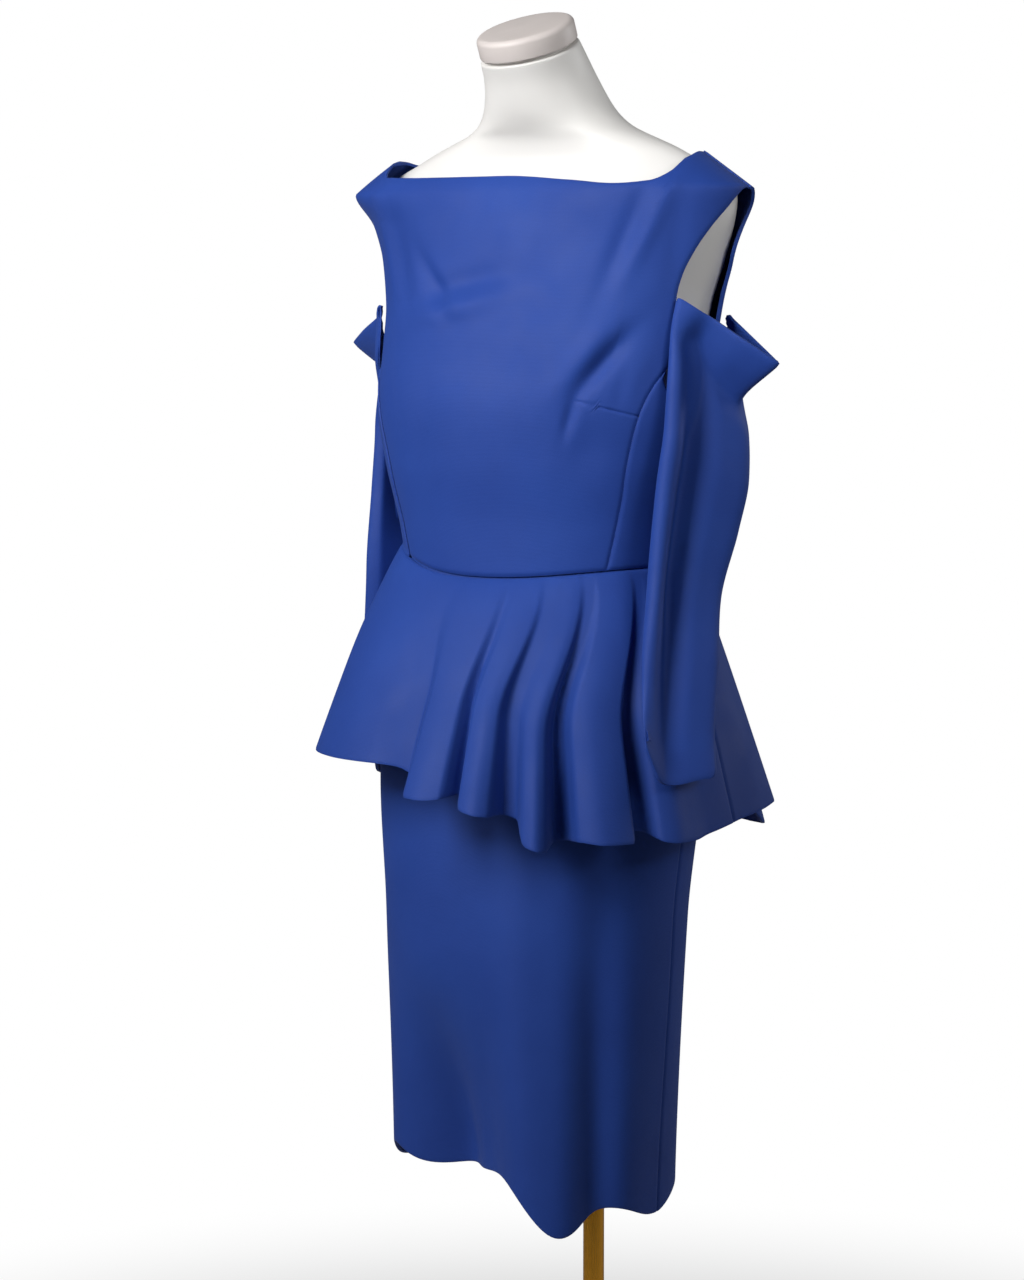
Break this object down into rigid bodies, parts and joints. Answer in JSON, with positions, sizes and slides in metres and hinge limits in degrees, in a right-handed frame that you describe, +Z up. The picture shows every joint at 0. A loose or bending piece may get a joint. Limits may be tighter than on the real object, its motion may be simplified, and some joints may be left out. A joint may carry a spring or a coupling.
{
  "type": "off-shoulder dress on a limbless dress form",
  "caption": "Slim knee-length dress with bare shoulders, loose hanging sleeves and a fluted peplum, worn by a limbless torso form on a pole and round base.",
  "frame": {"origin": "on the floor, at the centre of the base's underside and on the pole's axis", "axes": "+Z up along the pole, -Y the way that the dress faces, +X towards the wearer's left"},
  "size_m": [0.5217, 0.5077, 1.5939],
  "materials": {
    "dress_cloth": "matte royal blue jersey",
    "form_skin": "satin white",
    "form_cap": "satin warm grey",
    "brass": "polished"
  },
  "bodies": {
    "root": {"bodice_front": "dress_cloth", "side_panel_left": "dress_cloth", "side_panel_right": "dress_cloth", "bodice_back_left": "dress_cloth", "bodice_back_right": "dress_cloth", "sleeve_left": "dress_cloth", "sleeve_right": "dress_cloth", "peplum_front": "dress_cloth", "peplum_back_left": "dress_cloth", "peplum_back_right": "dress_cloth", "skirt_front": "dress_cloth", "skirt_back_left": "dress_cloth", "skirt_back_right": "dress_cloth", "form_torso": "form_skin", "form_neck_cap": "form_cap", "form_pole": "brass", "form_socket": "brass", "form_base": "brass"}
  },
  "joints": []
}
